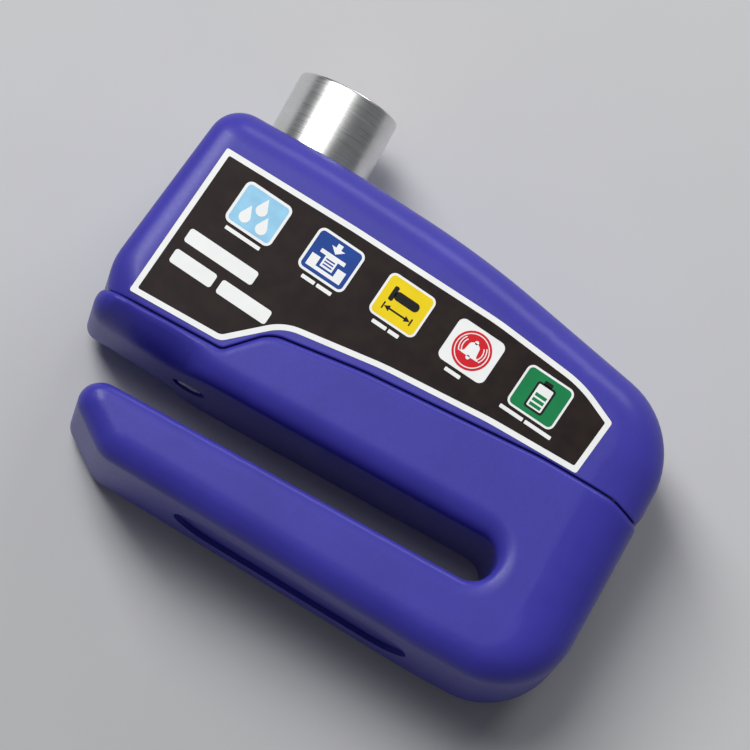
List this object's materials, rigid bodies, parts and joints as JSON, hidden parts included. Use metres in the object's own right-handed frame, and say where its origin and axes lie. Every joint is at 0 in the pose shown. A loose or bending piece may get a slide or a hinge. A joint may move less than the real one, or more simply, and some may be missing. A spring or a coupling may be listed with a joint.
{
  "type": "disc brake lock",
  "caption": "Alarm disc brake lock with a slotted two-jaw body, a push-in key cylinder that drives a locking pin across the slot, and a battery alarm under the cover.",
  "frame": {"origin": "middle of the back face that it lies on, at the centre of the whole lock's box with the cylinder out", "axes": "+X along the jaws towards the closed end, +Y along the lock cylinder, out of the body, +Z out of the label face"},
  "size_m": [0.09, 0.0726, 0.033],
  "materials": {
    "blue_body": "satin powder coat over zinc",
    "blue_cover": "satin powder coat over zinc",
    "label_print": "printed film, satin",
    "seal_rubber": "matt",
    "steel_brushed": "brushed",
    "steel_hard": "ground",
    "spring_steel": "bright wire",
    "screw_steel": "zinc plated",
    "brass": "machined",
    "bronze": "sintered",
    "case_plastic": "moulded",
    "tray_plastic": "moulded",
    "board": "solder mask",
    "chip_black": "moulded",
    "cap_blue": "sleeve",
    "coil_copper": "enamelled wire",
    "ceramic_white": "fired",
    "membrane_white": "matt",
    "cell_steel": "nickel plated",
    "contact_nickel": "nickel plated",
    "button_red": "moulded",
    "lead_red": "wire sheath",
    "lead_black": "wire sheath"
  },
  "bodies": {
    "housing": {"lock_body": "blue_body", "upper_cover": "blue_cover", "cover_gasket": "seal_rubber", "front_label": "label_print", "cover_screws": "screw_steel", "guide_bush": "bronze", "cylinder_seal": "seal_rubber", "guide_screw": "screw_steel", "pin_socket": "steel_hard", "return_spring": "spring_steel", "alarm_case": "case_plastic", "case_lid": "case_plastic", "circuit_board": "board", "board_screws": "screw_steel", "microchip": "chip_black", "chip_resistors": "chip_black", "capacitor": "cap_blue", "step_up_coil": "coil_copper", "shock_sensor": "contact_nickel", "resonator_ring": "tray_plastic", "piezo_disc": "brass", "piezo_ceramic": "ceramic_white", "sound_membrane": "membrane_white", "battery_tray": "tray_plastic", "cell_1": "cell_steel", "cell_2": "cell_steel", "cell_3": "cell_steel", "cell_4": "cell_steel", "cell_5": "cell_steel", "cell_6": "cell_steel", "contact_plates": "contact_nickel", "contact_bridge": "contact_nickel", "switch_body": "chip_black", "switch_spring": "spring_steel", "battery_lead": "lead_red", "piezo_leads": "lead_black"},
    "plunger": {"cylinder_sleeve": "steel_brushed", "lock_barrel": "brass", "plunger_foot": "steel_hard", "lock_pin": "steel_hard", "cross_pin": "steel_hard"},
    "plug": {"key_plug": "brass", "wafers": "brass", "plug_circlip": "spring_steel", "drive_cam": "steel_hard"},
    "locking_bar": {"locking_bar": "steel_hard"},
    "switch_button": {"switch_button": "button_red"}
  },
  "joints": [
    {"name": "plunger_slide", "type": "slide", "parent": "housing", "child": "plunger", "axis": [0, -1, 0], "range_m": [0, 0.012], "stiffness_N_per_m": 300, "springref_m": -0.012, "deforming": ["return_spring"]},
    {"name": "plug_turn", "type": "hinge", "parent": "plunger", "child": "plug", "pos_m": [-0.026, 0.0237, 0.0165], "axis": [0, 1, 0], "range_deg": [0, 90]},
    {"name": "bar_slide", "type": "slide", "parent": "plunger", "child": "locking_bar", "axis": [-1, 0, 0], "range_m": [0, 0.0015]},
    {"name": "switch_press", "type": "slide", "parent": "housing", "child": "switch_button", "axis": [1, 0, 0], "range_m": [0, 0.0012], "deforming": ["switch_spring"]}
  ],
  "couplings": [
    {"joint": "plug_turn", "follows": "bar_slide", "rad_per_m": 1047},
    {"joint": "switch_press", "follows": "plunger_slide", "ratio": 0.1}
  ]
}
